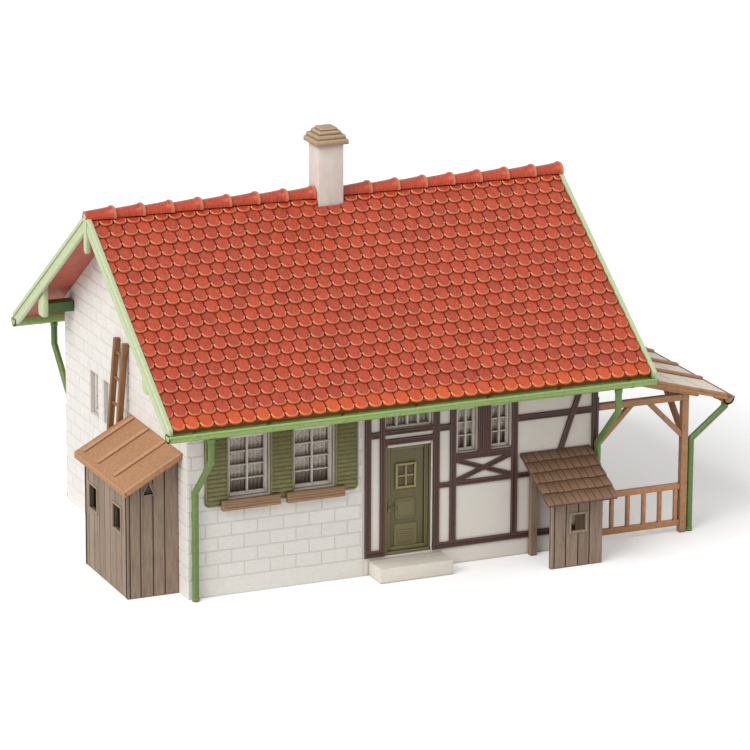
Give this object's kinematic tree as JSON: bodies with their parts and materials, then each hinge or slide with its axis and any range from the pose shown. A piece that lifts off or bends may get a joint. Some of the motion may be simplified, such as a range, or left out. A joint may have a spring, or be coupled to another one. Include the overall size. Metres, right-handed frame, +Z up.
{
  "type": "half-timbered chalet model building",
  "caption": "Model railway scale half-timbered chalet with a tiled gable roof, boarded lean-to shed, small store and an open timber canopy.",
  "frame": {"origin": "centre of the house walls' footprint, at ground level, on the underside of the floor plate", "axes": "+X along the ridge towards the canopy, +Y from the front to the rear wall, +Z up"},
  "size_m": [0.141, 0.1022, 0.0901],
  "materials": {
    "wall_white": "matt white, moulded block joints",
    "timber_brown": "matt dark brown",
    "roof_red": "semi-gloss orange-red tile relief",
    "trim_green": "satin light green",
    "purlin_green": "satin dark green",
    "pipe_green": "satin green",
    "chimney_white": "matt off-white",
    "cap_brown": "matt brown",
    "door_olive": "satin olive",
    "frame_white": "satin white",
    "curtain_film": "clear film over pale lace curtains",
    "step_white": "matt off-white",
    "shutter_olive": "satin olive, louvred",
    "box_brown": "matt brown boards",
    "board_grey": "matt weathered grey-brown boards",
    "felt_brown": "matt light brown roofing felt",
    "ladder_brown": "matt brown",
    "shingle_brown": "matt dark brown shingles",
    "canopy_timber": "matt red-brown timber",
    "canopy_felt": "matt pale brown roofing felt",
    "gutter_brown": "matt brown"
  },
  "bodies": {
    "root": {"floor_plate": "wall_white", "front_masonry_wall": "wall_white", "front_framed_wall": "wall_white", "left_gable_wall": "wall_white", "right_gable_wall": "wall_white", "rear_wall": "wall_white", "front_timber_frame": "timber_brown", "right_timber_frame": "timber_brown", "front_roof_slope": "roof_red", "rear_roof_slope": "roof_red", "ridge_capping": "roof_red", "left_bargeboards": "trim_green", "right_bargeboards": "trim_green", "gable_pendants": "trim_green", "purlin_ends": "purlin_green", "front_gutter": "trim_green", "rear_gutter": "trim_green", "house_downpipes": "pipe_green", "chimney_shaft": "chimney_white", "chimney_cap": "cap_brown", "front_door": "door_olive", "door_frame": "frame_white", "transom_window": "frame_white", "door_step": "step_white", "front_windows": "frame_white", "gable_windows": "frame_white", "rear_windows": "frame_white", "window_panes": "curtain_film", "shutters": "shutter_olive", "window_boxes": "box_brown", "shed_side_wall": "board_grey", "shed_end_walls": "board_grey", "shed_roof": "felt_brown", "ladder": "ladder_brown", "store_walls": "board_grey", "store_roof": "shingle_brown", "canopy_posts": "canopy_timber", "canopy_beams": "canopy_timber", "canopy_eave_beam": "canopy_timber", "canopy_braces": "canopy_timber", "canopy_rafters": "canopy_timber", "canopy_roof": "canopy_felt", "canopy_railing": "canopy_timber", "canopy_gutter": "gutter_brown", "canopy_downpipe": "pipe_green"}
  },
  "joints": []
}
